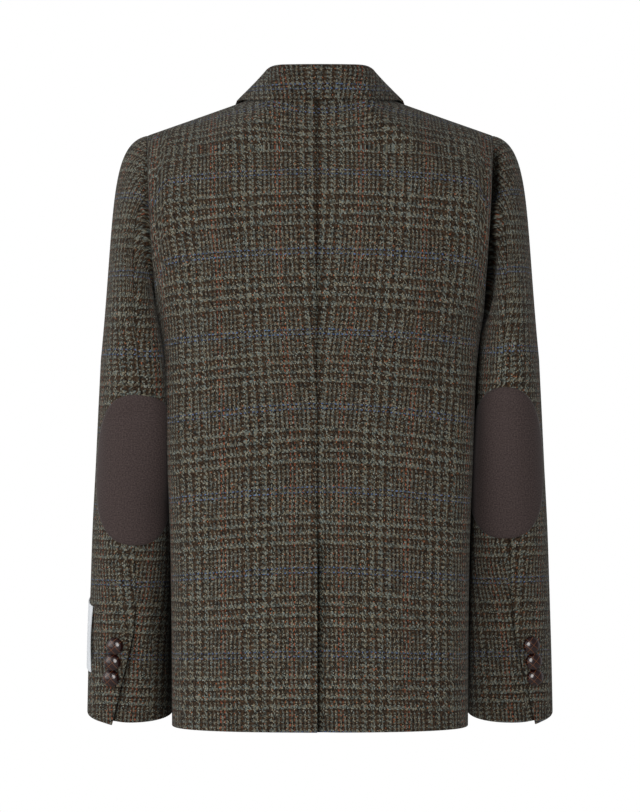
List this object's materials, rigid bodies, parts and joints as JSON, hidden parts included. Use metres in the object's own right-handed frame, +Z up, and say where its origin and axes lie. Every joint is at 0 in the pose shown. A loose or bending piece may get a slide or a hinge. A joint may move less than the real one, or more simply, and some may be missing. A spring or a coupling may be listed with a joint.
{
  "type": "tweed hacking jacket",
  "caption": "Tailored single-breasted jacket in checked tweed, worn and hollow: turned-down collar, lapels, elbow patches, buttoned cuff vents, slanted flaps and a centre back vent.",
  "frame": {"origin": "centre of the neck at side-neck height, between the two shoulder seams", "axes": "+Z up towards the head, -Y towards the wearer's front, +X towards the wearer's left"},
  "size_m": [0.5257, 0.2345, 0.7254],
  "materials": {
    "tweed": "2/2 twill glen check, brushed",
    "patch_suede": "suede",
    "button_leather": "polished woven leather",
    "label_cloth": "satin weave, bare"
  },
  "bodies": {
    "root": {"back_left": "tweed", "back_right": "tweed", "front_left": "tweed", "front_right": "tweed", "lapel_left": "tweed", "lapel_right": "tweed", "collar": "tweed", "pocket_flap_left": "tweed", "pocket_flap_right": "tweed", "sleeve_top_left": "tweed", "sleeve_top_right": "tweed", "sleeve_under_left": "tweed", "sleeve_under_right": "tweed", "elbow_patch_left": "patch_suede", "elbow_patch_right": "patch_suede", "cuff_label": "label_cloth", "cuff_button_left_1": "button_leather", "cuff_button_left_2": "button_leather", "cuff_button_left_3": "button_leather", "cuff_button_right_1": "button_leather", "cuff_button_right_2": "button_leather", "cuff_button_right_3": "button_leather", "front_button_1": "button_leather", "front_button_2": "button_leather", "front_button_3": "button_leather"}
  },
  "joints": []
}
